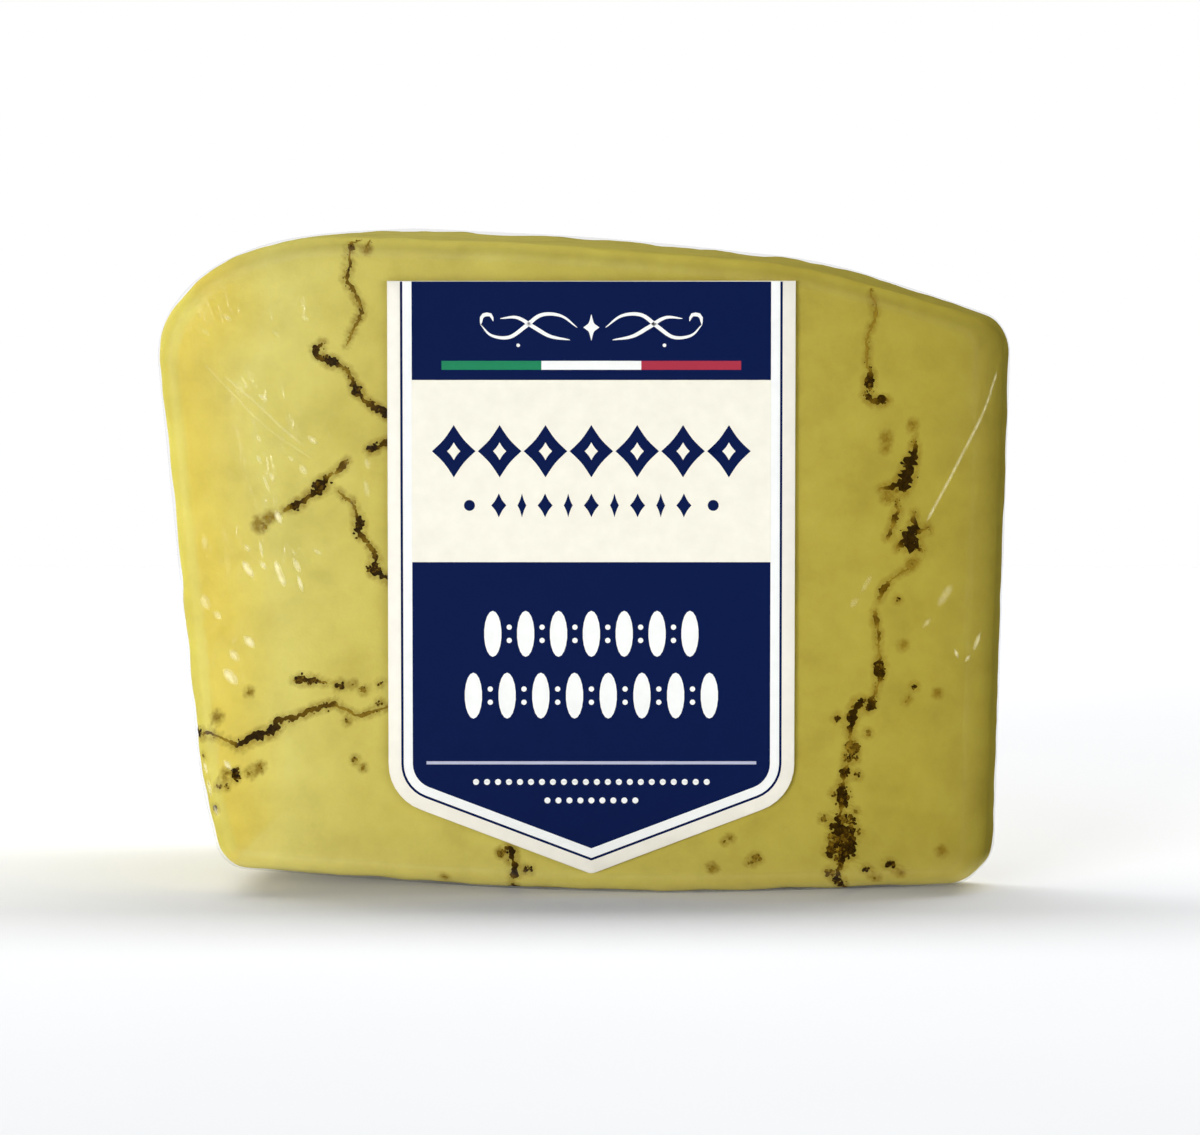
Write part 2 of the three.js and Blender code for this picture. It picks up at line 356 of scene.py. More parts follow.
# Separate bits of truffle there: x, z, half width, half height, and 0 black to 1 pale brown
frontBits = [
    (-26.3, 73.5, .36, .42, .3), (-24.6, 73.1, .2, .5, .9), (-28.5, 60.4, .72, .42, 0),
    (-30.3, 61.8, .42, .5, 0), (-25.7, 57.2, .5, .7, 0), (-24.0, 50.7, .6, .4, 0),
    (-30.0, 46.3, .8, .66, 0), (-32.7, 44.2, .7, .4, 0), (-36.7, 42.1, .85, .55, .95),
    (-35.6, 42.9, .6, .35, .95), (-25.5, 42.2, .5, .6, 0), (-23.9, 37.1, .85, .42, .1),
    (-32.3, 24.5, .7, .42, .2), (-30.5, 24.4, .38, .38, .3), (-27.8, 23.9, .62, .46, .1),
    (-25.1, 23.4, .4, .42, .7), (-23.2, 24.1, .36, .3, .3), (-23.3, 21.8, .42, .28, .3),
    (-26.3, 24.0, .2, .14, .8), (-27.0, 19.8, .24, .24, .5), (-41.6, 20.3, .4, .34, .8),
    (-43.9, 15.8, .24, .3, .9), (-39.6, 13.7, .52, .8, .1), (-40.6, 13.8, .22, .46, .8),
    (-41.5, 12.4, .34, .36, .6), (-40.6, 12.4, .3, .3, .5), (-42.2, 9.8, .42, .34, .1),
    (-36.8, 14.6, .42, .26, .9), (-37.9, 13.9, .36, .2, 1), (-38.0, 23.1, .2, .18, .9),
    (-26.1, 15.4, .3, .36, .7), (-25.2, 14.5, .3, .28, .7), (31.8, 58.1, .5, .7, 0),
    (31.7, 56.4, .38, .38, 0), (33.3, 56.1, .56, .36, .1), (33.8, 51.9, .36, .46, .8),
    (33.7, 50.6, .12, .36, .95), (36.8, 53.3, .2, .44, 1), (33.9, 45.1, .36, .5, .9),
    (36.8, 37.7, .46, .42, .8), (36.3, 37.2, .26, .22, .9), (35.2, 33.6, .26, .26, .5),
    (33.2, 26.1, .56, .62, .2), (31.1, 22.1, .5, .36, 0), (32.0, 21.4, .44, .4, .1),
    (28.4, 20.1, .42, .38, 0), (31.9, 18.5, .3, .42, .7), (30.1, 16.8, .85, .7, .5),
    (29.6, 15.6, .55, .5, .6), (30.5, 15.6, .3, .4, .4), (29.3, 13.9, .62, .46, .1),
    (30.7, 13.7, .4, .3, .2), (29.1, 11.2, .72, .78, .1), (28.8, 12.6, .3, .26, .6),
    (28.0, 11.5, .3, .3, .3), (29.3, 8.6, .95, .5, .5), (30.2, 8.3, .4, .5, .3),
    (28.3, 7.7, .7, .55, .05), (29.8, 7.4, .7, .6, .1), (29.2, 6.5, .9, .8, .25),
    (30.0, 6.2, .55, .8, 0), (29.6, 5.2, .8, .8, 0), (29.9, 4.5, .55, .5, 0), (28.6, 5.4, .6, .8, .1),
    (27.9, 6.4, .45, .8, .5), (27.6, 5.0, .45, .8, .3), (28.5, 4.2, .5, .4, .5),
    (26.9, 8.7, .4, .42, .6), (30.9, 7.2, .22, .4, .6), (28.8, 3.3, .32, .6, .5),
    (27.6, 2.5, .7, .38, .5), (28.3, 1.6, .4, .5, .1), (28.5, 0.9, .3, .3, .2),
    (30.5, 9.6, .22, .22, .6), (31.8, 2.9, .5, .34, .1), (34.4, 3.5, .62, .46, .1),
    (32.8, 1.8, .26, .22, .8), (35.6, 2.6, .28, .18, .9), (37.1, 23.7, .34, .34, .1),
    (36.5, 22.5, .14, .18, .6), (36.1, 22.0, .12, .12, .7), (39.7, 23.0, .24, .24, .9),
    (35.8, 28.4, .24, .22, .9), (40.2, 5.0, .34, .26, 1), (16.3, 6.5, .3, .24, .6),
    (15.7, 6.1, .16, .16, .6), (19.3, 4.2, .56, .46, .7), (18.6, 3.7, .3, .26, .6),
    (14.3, 3.1, .46, .18, .9), (-9.6, 4.8, .52, .46, .7), (-6.5, 2.9, .48, .44, .3),
    (-16.0, 1.7, .34, .22, .8),
]


def gridPoint(ring, place):
    # a point of the wedge's surface between the grid's own points
    ring = min(max(ring, 0), ringCount - 1.001)
    low = int(ring)
    i, along = int(place) % around, place - math.floor(place)
    corner = [rings[low + a][(i + b) % around] for a in (0, 1) for b in (0, 1)]
    near = corner[0] * (1 - along) + corner[1] * along
    far = corner[2] * (1 - along) + corner[3] * along
    return near + (far - near) * (ring - low)


def wanderingVein(ring, place, ringStep, placeStep, count, rng):
    # a vein that wanders over the surface, in steps of about 2 mm, swelling and thinning
    path = []
    drift = 0.0
    for _ in range(count):
        half = float(np.clip(rng.lognormal(-1.35, 0.55), 0.08, 0.8))      # mostly 0.15 to 0.45
        path.append([*gridPoint(ring, place), half])
        overEdge = min(abs(ring - frontEdge - 4), abs(ring - backEdge + 4)) < 8
        drift = 0.6 * drift + rng.normal(0, 0.3 if overEdge else 1.3)     # rings are closer there
        ring += ringStep * rng.uniform(0.6, 1.4) + drift * (placeStep != 0)
        place += placeStep * rng.uniform(0.6, 1.4) + drift * (placeStep == 0)
    return path


def placeOf(x, z):
    # where a vein of the front face leaves it: the nearest point of the outline
    edge = rings[edgeRing]
    return float(np.argmin(np.hypot(edge[:, 0] - x, edge[:, 2] - z)))


# Where veins leave the front face: x, z, and how many steps they run down the back one
leavingVeins = [(-25.3, 75.3, 17), (32.5, 69.7, 22), (-44.4, 18.3, 20), (28.6, 0.6, 23), (-8.4, 1.0, 8)]

# Separate veins on the back face and on the rind: share of the way round, rings from the face's
# edge, step round the wedge, or 0 for one that runs from ring to ring, and count of steps
backVeins = [
    (0.08, 40, 0, 12), (0.55, 26, 2.6, 14), (0.34, 30, 0, 12), (0.78, 34, -2.6, 13), (0.9, 22, 2.4, 10),
]
rindVeins = [(0.9, 14, 2.6, 9), (0.86, 34, -2.4, 9)]


def restOfVeins():
    rng = np.random.default_rng(41)
    veins = []
    for x, z, deep in leavingVeins:
        place = placeOf(x, z)
        if z < 60:                       # those at the top don't cross it
            veins.append(wanderingVein(frontEdge + 2, place, 1.9, 0, 26, rng))
        veins.append(wanderingVein(backEdge + 1, place + rng.normal(0, 2), 2.2, 0, deep, rng))
    for place, ring, way, count in backVeins:
        veins.append(wanderingVein(backEdge + ring, place * around, 0 if way else 2.3, way, count, rng))
    for place, ring, way, count in rindVeins:
        veins.append(wanderingVein(frontEdge + ring, place * around, 0, way, count, rng))
    return veins


# Cheese: pressed paste with fine grain. The cut faces are smooth, the rind is less even and a
# little greener, and shallow cracks run along the truffle veins.

cheese = {
    "gap": 0.145,            # paste lies this far inside the film's outer face
    "unevenCut": 0.05,       # soft hills and hollows on the cut faces
    "unevenRind": 0.14,
    "hills": (7, 2.6),       # their wavelengths, the second at half the height
    "crack": 0.06,           # depth of the crack that a vein fills
    "rindTurn": 12,          # added to the distance from the rind where the side turns away from it
    "shadeOnFace": 0.22,       # painted shade: the top and the tip are darker on the face's last millimetre or so
    "shadeOverEdge": 0.78,       # and this much more over the edge
    "footLightFace": 0.08,        # painted light: the foot is paler on the face's last 3 mm
    "footLightEdge": 0.8,         # and over the edge
}


def nearness(points, sources, reach, cell=3.0):
    # a source's own strength on it, falling to 0 over the reach; far points are skipped by cells
    held = {}
    for row in sources:
        key = tuple(np.floor(np.array(row[:3]) / cell).astype(int))
        held.setdefault(key, []).append(row)
    level = np.zeros(len(points))
    keys = np.floor(points / cell).astype(int)
    order = np.lexsort(keys.T)
    edges = np.flatnonzero(np.any(np.diff(keys[order], axis=0), axis=1)) + 1
    for group in np.split(order, edges):
        base = keys[group[0]]
        near = [row for dx in (-1, 0, 1) for dy in (-1, 0, 1) for dz in (-1, 0, 1)
                for row in held.get((base[0] + dx, base[1] + dy, base[2] + dz), ())]
        if near:
            near = np.array(near)
            gap = np.linalg.norm(points[group][:, None] - near[None, :, :3], axis=2) - near[:, 3]
            level[group] = (near[:, 4] * np.exp(-(np.maximum(gap, 0) / reach) ** 2)).max(1)
    return level


def onFace(rows):
    return [[x, frontY, z, *rest] for x, z, *rest in rows]


veins = [onFace(vein) for vein in frontVeins] + restOfVeins()
stainLevel, paleTone = veinSet["stainLevel"], veinSet["paleTone"]
veinSources = [[*row, stainLevel] for vein in veins for row in smoothPath(vein, 0.5)]
bitSources = [[x, frontY, z, 0.8 * math.sqrt(wide * high), 1.0 if tone > paleTone else stainLevel]
              for x, z, wide, high, tone in frontBits]
stain = nearness(skin, veinSources + bitSources, veinSet["stainReach"])
crackLevel = nearness(skin, veinSources, veinSet["crackReach"])

# Which ring each point is on, its place round it, and how far it is from the face's edge
ringOf = np.concatenate([[0], np.repeat(np.arange(ringCount), around), [ringCount - 1]])
placeIn = np.concatenate([[0], np.tile(np.arange(around), ringCount), [0]])
shareOf = np.concatenate([[0], np.repeat(ringShares, around), [0]])
middles = np.stack([rings[0].mean(0), rings[-1].mean(0)])[(ringOf > ringCount / 2).astype(int)]
fromEdge = np.linalg.norm(skin - middles, axis=1) * (1 / np.maximum(shareOf, 0.05) - 1)
tipPart = smoothStep(rings[0][:, 0] - rings[0][:, 0].max() * 0.9, -0.5, 0.5)[placeIn]
edgeWay = outward[1 + edgeRing * around:][:around][placeIn]      # which way the edge nearby looks
rindDepth = fromEdge + cheese["rindTurn"] * smoothStep(edgeWay[:, 0], -0.8, 0)    # 0 on the rind
overEdge = smoothStep(np.minimum(ringOf - frontEdge, backEdge - ringOf), 0, wedge["edgeRings"])
# painted shade: the paste is darker at the top and the tip, on the face's edge and over its rounding
paintedEdgeShade = cheese["shadeOnFace"] * np.exp(-fromEdge) + cheese["shadeOverEdge"] * overEdge
paintedEdgeShade *= smoothStep(edgeWay[:, 0] + edgeWay[:, 2], -0.3, 0.5)
# painted light: the foot is paler, on the face's edge and over its rounding, where it faces the floor's
# shadow
foot = cheese["footLightFace"] * np.exp(-fromEdge / 3) + cheese["footLightEdge"] * overEdge
foot *= smoothStep(-edgeWay[:, 2], 0.2, 0.9)
halfSide = (backEdge - frontEdge) / 2
onRind = smoothStep(np.abs(ringOf - frontEdge - halfSide), halfSide, halfSide - 5) * (1 - tipPart)

uneven = cheese["unevenCut"] + (cheese["unevenRind"] - cheese["unevenCut"]) * onRind
wide, narrow = cheese["hills"]
relief = uneven * softField(skin, wide, 3) + 0.5 * uneven * softField(skin, narrow, 4)
sunk = cheese["gap"] + np.maximum(relief + uneven, 0) + cheese["crack"] * crackLevel
pasteSkin = skin - outward * sunk[:, None]
print("cheese: paste and", len(veins), "veins laid out")


def pecorinoPaste():
    # Young pecorino, pressed and cut with a wire: waxy, fine grained, pale straw that turns
    # olive towards the middle of the wheel: partly its own tone, partly painted light at the rind
    # end and painted shade towards the tip. It reads as soft and slightly translucent. The film
    # lies on it without air between them, so that all the gloss is the film's.
    material, tree, place = newMaterial("pecorino_paste")
    levels = {name: addNode(tree, "Attribute", attribute_name=name).outputs["Fac"]
              for name in ("stain", "rindDepth", "paintedEdgeShade", "foot")}
    for name, width, detail, rough in (       # width of a patch or a grain in millimetres
            ("clouds", 14, 3, 0.5), ("mottle", 5, 5, 0.6),
            ("patches", 0.8, 4, 0.65), ("grain", 0.7, 5, 0.62)):
        levels[name] = addNode(tree, "TexNoise", {
            "Vector": place, "Scale": 1 / (width * mm), "Detail": detail, "Roughness": rough}).outputs["Fac"]

    # from the rind to the middle of the wheel, with painted light at the rind end and painted
    # shade towards the tip; where each tint begins wanders by up to 14 mm
    along = addNode(tree, "SeparateXYZ", {"Vector": place}).outputs["X"]
    warped = addNode(tree, "Math", {0: levels["clouds"], 1: 14 * mm, 2: along}, operation="MULTIPLY_ADD")
    across = addNode(tree, "MapRange", {
        "Value": warped.outputs[0], "From Min": -40 * mm, "From Max": 54 * mm})
    body = addNode(tree, "ValToRGB", {"Fac": across.outputs[0]}, stops=[
        (0.0, "#e8d86e"), (0.12, "#dad074"), (0.24, "#cfc364"), (0.5, "#c6ba59"), (0.72, "#bcae4c"),
        (0.9, "#b0a241"), (1.0, "#a5973e")]).outputs[0]

    rindShare = addNode(tree, "MapRange", {"Value": levels["rindDepth"], "From Max": 9.0})
    for level, amount, stops in (
            (levels["mottle"], 1.0, [(0.3, "#ebe8e0"), (0.5, "#f7f5f0"), (0.72, "#ffffff")]),
            (rindShare.outputs[0], 0.8, [
                (0.0, "#f2f5d6"), (0.1, "#fbf4d0"), (0.4, "#fdf6d8"), (1.0, "#ffffff")]),
            # painted shade at the top and the tip
            (levels["paintedEdgeShade"], 1.0, [(0.0, "#ffffff"), (1.0, "#cecdb6")])):
        tint = addNode(tree, "ValToRGB", {"Fac": level}, stops=stops)
        body = addNode(tree, "Mix", {0: amount, 6: body, 7: tint.outputs[0]},
                       data_type="RGBA", blend_type="MULTIPLY").outputs[2]
    oily = addNode(tree, "Math", {0: levels["stain"], 1: levels["patches"]}, operation="MULTIPLY")
    oily = addNode(tree, "MapRange", {
        "Value": oily.outputs[0], "From Min": 0.14, "From Max": 0.52, "To Max": 0.85})
    # painted light at the foot, then the oily brown halo
    for share, colour in ((levels["foot"], "#f0e292"), (oily.outputs[0], "#836816")):
        body = addNode(tree, "Mix", {0: share, 6: body, 7: linear(colour)}, data_type="RGBA").outputs[2]

    pits = addNode(tree, "TexVoronoi", {"Vector": place, "Scale": 1 / (2.4 * mm)})
    pitted = addNode(tree, "MapRange", {"Value": pits.outputs["Distance"], "From Max": 0.22})
    height = addNode(tree, "Math", {
        0: pitted.outputs[0], 1: 0.4, 2: levels["grain"]}, operation="MULTIPLY_ADD")
    bump = addNode(tree, "Bump", {
        "Height": height.outputs[0], "Strength": 0.35, "Distance": 0.12 * mm})
    shader = addNode(tree, "BsdfPrincipled", {
        "Base Color": body, "Roughness": 0.55, "IOR": 1.46, "Specular IOR Level": 0.0,
        "Subsurface Weight": 0.25, "Subsurface Radius": (1.0, 0.75, 0.25),
        "Subsurface Scale": 0.9 * mm, "Normal": bump.outputs[0]})
    addNode(tree, "OutputMaterial", {"Surface": shader.outputs[0]})
    return material


makePiece("cheese", pasteSkin, skinFaces, pecorinoPaste(), "wrapped_wedge",
          fields={"stain": stain, "rindDepth": rindDepth, "paintedEdgeShade": paintedEdgeShade, "foot": foot})
pasteTree = BVHTree.FromPolygons([Vector(p) for p in pasteSkin], skinFaces)


# Black truffle in the veins: irregular strands that lie in the cracks, bits and fine crumbs

class Parts:
    # points, faces and one level a point, gathered from many small closed bodies
    def __init__(self):
        self.points, self.faces, self.levels, self.count = [], [], [], 0

    def add(self, points, faces, levels):
        self.points.append(points)
        self.faces += [[index + self.count for index in face] for face in faces]
        self.levels.append(np.broadcast_to(levels, len(points)))
        self.count += len(points)

    def all(self):
        return np.vstack(self.points), self.faces, np.concatenate(self.levels)


def seat(tree, point):
    place, normal, _, _ = tree.find_nearest(Vector(point))
    return np.array(place), np.array(normal)


def tube(tree, path, sides, widthAt, heightAt, sway=None):
    # a closed body along a path on the surface; width and height are given round its section
    places, normals = (np.array(found) for found in zip(*[seat(tree, row[:3]) for row in path]))
    aside = np.cross(np.gradient(places, axis=0), normals)
    aside /= np.maximum(np.linalg.norm(aside, axis=1), 1e-6)[:, None]
    if sway is not None:
        places = places + aside * sway[:, None]
    angles = np.arange(sides) * 2 * math.pi / sides
    rows = [place + np.outer(widthAt(k, np.cos(angles)), aside[k])
            + np.outer(heightAt(k, np.sin(angles)), normals[k]) for k, place in enumerate(places)]
    points = np.vstack([rows[0].mean(0, keepdims=True), *rows, rows[-1].mean(0, keepdims=True)])
    return points, gridFaces(len(rows), sides)


def veinTone(half):
    return float(np.clip(1.05 - half / veinSet["darkHalf"], 0, 1))


def strand(path, rng):
    # a flattened, ragged strand of truffle that lies in the surface
    path = smoothPath(path, veinSet["step"])
    count, sides, flat = len(path), veinSet["sides"], veinSet["flat"]
    wobble = np.cumsum(rng.normal(0, 0.5, count))
    wobble -= np.linspace(wobble[0], wobble[-1], count)
    noise = rng.normal(0, 1, (2, count + 2))
    noise = (noise[:, :-2] + 2 * noise[:, 1:-1] + noise[:, 2:]) / 2.5
    ragged = (1 + veinSet["ragged"] * noise).clip(0.35, 1.9)

    def widthAt(k, across):
        return np.where(across > 0, ragged[0, k], ragged[1, k]) * path[k, 3] * across

    def heightAt(k, up):
        half = path[k, 3]
        rise = min(flat * half, veinSet["rise"])
        return rise * np.where(up > 0, up, flat * up) - veinSet["sunk"] * half / (half + 0.2)

    sway = veinSet["stepAcross"] * np.tanh(wobble / 2)
    points, faces = tube(pasteTree, path, sides, widthAt, heightAt, sway)
    tones = np.repeat([veinTone(row[3]) for row in path], sides)
    return points, faces, np.array([veinTone(path[0, 3]), *tones, veinTone(path[-1, 3])])


def roundLump(subdivisions):
    shape = bmesh.new()
    bmesh.ops.create_icosphere(shape, subdivisions=subdivisions, radius=1)
    points = np.array([v.co for v in shape.verts])
    faces = [[v.index for v in f.verts] for f in shape.faces]
    shape.free()
    return points, faces


fineLump, plainLump = roundLump(2), roundLump(1)


def lump(parts, place, size, tone, rng, template):
    # a broken bit: a ball knocked out of round, flattened and half sunk in the surface
    shape, faces = template
    spot, normal = seat(pasteTree, place)
    aside = np.cross(normal, (0, 0, 1) if abs(normal[2]) < 0.9 else (0, 1, 0))
    aside /= np.linalg.norm(aside)
    upward = np.cross(normal, aside)
    rough = softField(shape * 1.1, 2.2, int(rng.integers(1 << 30)))
    knocked = shape * (1 + veinSet["lumpRough"] * rough)[:, None]
    knocked *= (1 + rng.normal(0, veinSet["lumpGrain"], len(shape)))[:, None]
    wide, high, tall = size
    points = (spot + np.outer(knocked[:, 0] * wide, aside) + np.outer(knocked[:, 1] * high, upward)
              + np.outer(knocked[:, 2] * tall - veinSet["lumpSunk"] * tall, normal))
    parts.add(points, faces, tone)


def truffleParts():
    rng = np.random.default_rng(7)
    parts = Parts()
    crumbStep, bitHeight = veinSet["crumbStep"], veinSet["bitHeight"]
    for vein in veins:
        parts.add(*strand(vein, rng))
        path = smoothPath(vein, crumbStep)
        for _ in range(int(len(path) * crumbStep * veinSet["crumbs"])):
            row = path[rng.integers(len(path))]
            place = row[:3] + rng.normal(0, 0.6 * row[3] + 0.05, 3)
            radius = rng.uniform(0.05, 0.08 + 0.35 * row[3])
            size = (radius, radius * rng.uniform(0.6, 1.4), min(radius * 0.6, bitHeight))
            tone = float(np.clip(veinTone(row[3]) + rng.normal(0, 0.3), 0, 1))
            lump(parts, place, size, tone, rng, plainLump)
    for x, z, wide, high, tone in frontBits:
        # each bit is a few lumps that together have its size, so that its outline is broken
        count = 4
        if tone < veinSet["paleTone"]:
            count = min(4 + int(veinSet["bitLumps"] * wide * high), veinSet["mostLumps"])
        for _ in range(count):
            way, out = rng.uniform(0, 2 * math.pi), math.sqrt(rng.uniform(0, 0.75))
            place = (x + wide * out * math.cos(way), frontY, z + high * out * math.sin(way))
            reach = rng.uniform(0.16, 0.4) * math.sqrt(wide * high) + 0.03
            size = (reach * rng.uniform(0.8, 1.3), reach * rng.uniform(0.8, 1.3), bitHeight)
            lumpTone = float(np.clip(tone + rng.normal(0, 0.2), 0, 1))
            lump(parts, place, size, lumpTone, rng, fineLump)
    return parts.all()


def blackTruffle():
    # Summer truffle, minced: nearly black flesh and brown skin, pressed against the film
    material, tree, place = newMaterial("minced_black_truffle")
    flecks = addNode(tree, "TexNoise", {
        "Vector": place, "Scale": 1 / (0.45 * mm), "Detail": 3, "Roughness": 0.6})
    tone = addNode(tree, "Attribute", attribute_name="tone").outputs["Fac"]
    mixed = addNode(tree, "Math", {
        0: flecks.outputs["Fac"], 1: 0.5, 2: tone}, operation="MULTIPLY_ADD")
    colour = addNode(tree, "ValToRGB", {"Fac": mixed.outputs[0]}, stops=[
        (0.18, "#241700"), (0.4, "#3e2a00"), (0.7, "#644b0a"), (1.0, "#8f7520")])
    bump = addNode(tree, "Bump", {
        "Height": flecks.outputs["Fac"], "Strength": 0.5, "Distance": 0.08 * mm})
    shader = addNode(tree, "BsdfPrincipled", {
        "Base Color": colour.outputs[0], "Roughness": 0.6, "Specular IOR Level": 0.0,
        "Normal": bump.outputs[0]})
    addNode(tree, "OutputMaterial", {"Surface": shader.outputs[0]})
    return material


trufflePoints, truffleFaces, truffleTones = truffleParts()
makePiece("truffle", trufflePoints, truffleFaces, blackTruffle(), "wrapped_wedge",
          fields={"tone": truffleTones})
print("truffle:", len(truffleFaces), "faces")


# Film: clear vacuum film drawn tight on the cheese, with short stress wrinkles and a long crease

film = {
    "margin": 0.03,          # kept inside the solid's own faces
    "slack": 0.012,          # soft waves where it isn't pressed flat by the label
    "labelClear": 1.5,       # it is flat this far round the label
    "looseReach": 3.0,       # how far the crinkles spread round a fold
    "looseFold": 0.85,       # strength of the crinkles round a fold
    "looseEdge": 0.15,       # where it is stretched over an edge
    "looseGathered": 0.6,    # and where it gathers beside an edge
    "foldWidth": 1.75,       # share of the widths below
    "foldLength": 1.3,       # and of the lengths
    "foldSlope": 0.25,       # a fold's height for its half width, so that its side glints
    "foldStep": 0.2,         # between points along a fold
    "foldSides": 12,         # round its section
    "foldsApart": 2.2,       # folds that lie across each other would grey the paste
    "glintHeight": 0.16,           # folds of this height and more carry the full painted glint, lower ones a fainter one
    "taper": 1.0,            # length over which a fold's end thins out
}

# Creases seen on the front: x and z of each point along it, then half its width and its height
frontPleats = [
    (47.1, 59.5, 45.1, 55.4, 43.0, 51.3, 40.7, 46.8, 38.3, 42.3, .14, .1),
    (-40.7, 58.9, -37.5, 56.2, -33.9, 52.8, -31.6, 50.9, .14, .06),
    (-43.1, 60.4, -39.4, 56.6, -35.7, 52.9, -30.6, 49.4, .12, .045), (-40.8, 65.7, -39.7, 65.0, .24, .1),
    (-43.2, 64.2, -42.2, 63.4, .22, .06), (-35.2, 64.0, -34.4, 63.2, .2, .07),
    (-31.9, 65.6, -31.0, 65.0, .24, .08), (-36.8, 56.8, -35.7, 56.1, .24, .13),
    (-31.3, 52.1, -30.2, 51.2, .26, .15), (-37.0, 52.3, -36.5, 51.3, .2, .1),
    (-37.0, 50.0, -36.5, 48.9, .22, .1), (-33.5, 49.9, -32.7, 49.1, .2, .1),
    (-32.2, 48.9, -31.4, 47.7, .3, .13), (-35.5, 48.0, -35.1, 46.9, .2, .12),
    (-36.3, 47.7, -35.6, 45.8, .16, .1), (-24.7, 49.6, -24.4, 48.2, .26, .08),
    (-24.8, 47.1, -24.5, 45.1, .26, .07), (-34.9, 43.7, -34.3, 42.2, .28, .16),
    (-38.4, 39.9, -37.8, 39.0, .2, .12), (-36.7, 40.2, -36.4, 38.3, .15, .12),
    (-36.7, 38.0, -36.0, 37.0, .24, .16), (-38.6, 37.9, -37.5, 36.2, .3, .18),
    (-35.0, 38.2, -34.4, 36.4, -33.8, 34.9, .28, .18), (-32.9, 38.3, -32.2, 36.7, .24, .16),
    (-32.4, 36.3, -31.9, 34.5, .18, .16), (-33.1, 39.3, -32.6, 38.5, .18, .08),
    (-30.7, 39.3, -29.7, 38.7, .22, .09), (-43.2, 34.2, -42.5, 32.5, .4, .12),
    (-42.0, 32.3, -41.1, 31.4, .3, .13), (-43.0, 40.9, -42.7, 39.2, .3, .07),
    (-38.5, 29.5, -37.4, 28.2, .34, .17), (-40.2, 27.9, -39.1, 26.7, .36, .12),
    (-40.8, 25.7, -39.4, 24.1, .42, .16), (-40.9, 15.4, -40.0, 14.3, .26, .16),
    (-43.5, 15.2, -43.0, 13.7, .2, .15), (-43.0, 13.1, -42.5, 11.2, .2, .14),
    (-42.2, 10.3, -41.6, 8.8, .2, .12), (41.2, 35.2, 39.8, 33.0, .34, .07),
    (38.9, 31.5, 38.0, 30.4, .24, .08), (41.6, 28.1, 42.0, 26.9, .16, .13),
    (44.7, 29.8, 43.8, 27.9, .2, .13), (43.4, 27.4, 42.8, 26.6, .16, .12),
    (30.7, 33.8, 29.8, 32.7, .3, .07), (32.2, 36.4, 31.1, 34.5, .24, .05),
]

labelLow, labelHigh = (np.array(corner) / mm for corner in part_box("label"))


def filmSkin():
    beside = np.maximum(np.maximum(labelLow[0] - skin[:, 0], skin[:, 0] - labelHigh[0]),
                        np.maximum(labelLow[2] - skin[:, 2], skin[:, 2] - labelHigh[2]))
    free = np.where(onFront, smoothStep(beside, 0, film["labelClear"]), 1)
    waves = 0.6 * softField(skin, 9, 11) + 0.4 * softField(skin, 4, 12)
    return skin - outward * (film["margin"] + film["slack"] * (1 + waves.clip(-1, 1)) * free)[:, None]


def crinkledFilm(name, bumpStrength):
    # a new material with the film's fine crinkles, which run aslant where it lies loose
    material, tree, place = newMaterial(name)
    slanted = addNode(tree, "Mapping", {
        "Vector": place, "Rotation": (0, math.radians(-20), 0), "Scale": (1.0, 1.0, 2.8)},
        vector_type="TEXTURE")
    crinkle = addNode(tree, "TexNoise", {
        "Vector": slanted.outputs[0], "Scale": 1 / (1.9 * mm), "Detail": 3, "Roughness": 0.55,
        "Distortion": 0.6})
    loose = addNode(tree, "Attribute", attribute_name="loose").outputs["Fac"]
    height = addNode(tree, "Math", {0: crinkle.outputs["Fac"], 1: loose}, operation="MULTIPLY")
    bump = addNode(tree, "Bump", {
        "Height": height.outputs[0], "Strength": bumpStrength, "Distance": 0.34 * mm})
    return material, tree, bump.outputs[0], slanted.outputs[0]


def outerSideOnly(tree, share, shader):
    # the shader by its share and clear film for the rest; the inner side lies on the cheese
    # and doesn't shine, so it is all clear
    clear = addNode(tree, "BsdfTransparent")
    outer = addNode(tree, "MixShader", {0: share, 1: clear.outputs[0], 2: shader.outputs[0]})
    inside = addNode(tree, "NewGeometry").outputs["Backfacing"]
    both = addNode(tree, "MixShader", {0: inside, 1: outer.outputs[0], 2: clear.outputs[0]})
    addNode(tree, "OutputMaterial", {"Surface": both.outputs[0]})


def vacuumFilm():
    # Cast polyamide and polythene film, 90 microns: clear and glossy, drawn flat on the paste
    # and crinkled round its folds. It is duller where it is stretched over an edge.
    material, tree, bumped, _ = crinkledFilm("clear_vacuum_film", 0.8)
    stretched = addNode(tree, "Attribute", attribute_name="stretched").outputs["Fac"]
    dull = addNode(tree, "MapRange", {"Value": stretched, "To Min": 0.18, "To Max": 0.5})
    facing = addNode(tree, "Fresnel", {"IOR": 1.5, "Normal": bumped})
    held = addNode(tree, "Math", {0: facing.outputs[0], 1: 0.18}, operation="MINIMUM")
    gloss = addNode(tree, "BsdfGlossy", {"Roughness": dull.outputs[0], "Normal": bumped})
    outerSideOnly(tree, held.outputs[0], gloss)
    return material


